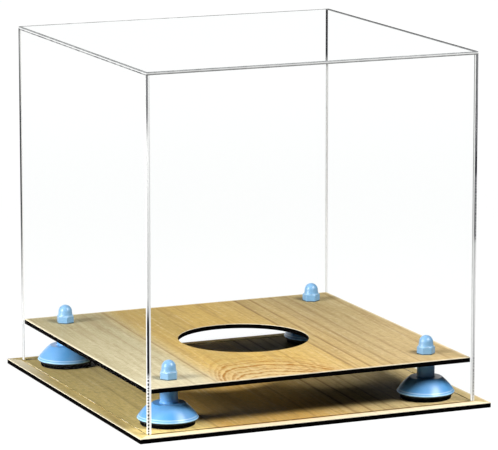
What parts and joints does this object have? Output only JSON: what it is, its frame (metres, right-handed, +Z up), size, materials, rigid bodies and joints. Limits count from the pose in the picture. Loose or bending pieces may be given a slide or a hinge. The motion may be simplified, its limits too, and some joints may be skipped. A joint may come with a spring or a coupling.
{
  "type": "basketball display case",
  "caption": "Clear acrylic cube cover over a maple-faced base, with a raised platform on round feet that seats a full-size basketball in a hole.",
  "frame": {"origin": "middle of the base board's underside", "axes": "+X to the right along the front, +Y towards the back, +Z up"},
  "size_m": [0.303, 0.303, 0.288],
  "materials": {
    "maple_face": "clear gloss over maple grain",
    "board_core": "black cut edge, satin",
    "clear_acrylic": "clear, polished",
    "riser_plastic": "glossy moulded plastic",
    "pad_rubber": "matte",
    "zinc_steel": "zinc plated"
  },
  "bodies": {
    "base": {"base_core": "board_core", "base_face": "maple_face"},
    "platform": {"platform_core": "board_core", "platform_face": "maple_face", "pad_front_left": "pad_rubber", "foot_front_left": "riser_plastic", "bolt_front_left": "zinc_steel", "cap_nut_front_left": "riser_plastic", "pad_front_right": "pad_rubber", "foot_front_right": "riser_plastic", "bolt_front_right": "zinc_steel", "cap_nut_front_right": "riser_plastic", "pad_back_left": "pad_rubber", "foot_back_left": "riser_plastic", "bolt_back_left": "zinc_steel", "cap_nut_back_left": "riser_plastic", "pad_back_right": "pad_rubber", "foot_back_right": "riser_plastic", "bolt_back_right": "zinc_steel", "cap_nut_back_right": "riser_plastic"},
    "cover": {"cover_left": "clear_acrylic", "cover_right": "clear_acrylic", "cover_front": "clear_acrylic", "cover_back": "clear_acrylic", "cover_roof": "clear_acrylic"}
  },
  "joints": [
    {"name": "cover_lift", "type": "slide", "parent": "base", "child": "cover", "axis": [0, 0, 1], "range_m": [0, 0.3]},
    {"name": "platform_lift", "type": "slide", "parent": "base", "child": "platform", "axis": [0, 0, 1], "range_m": [0, 0.1]}
  ]
}
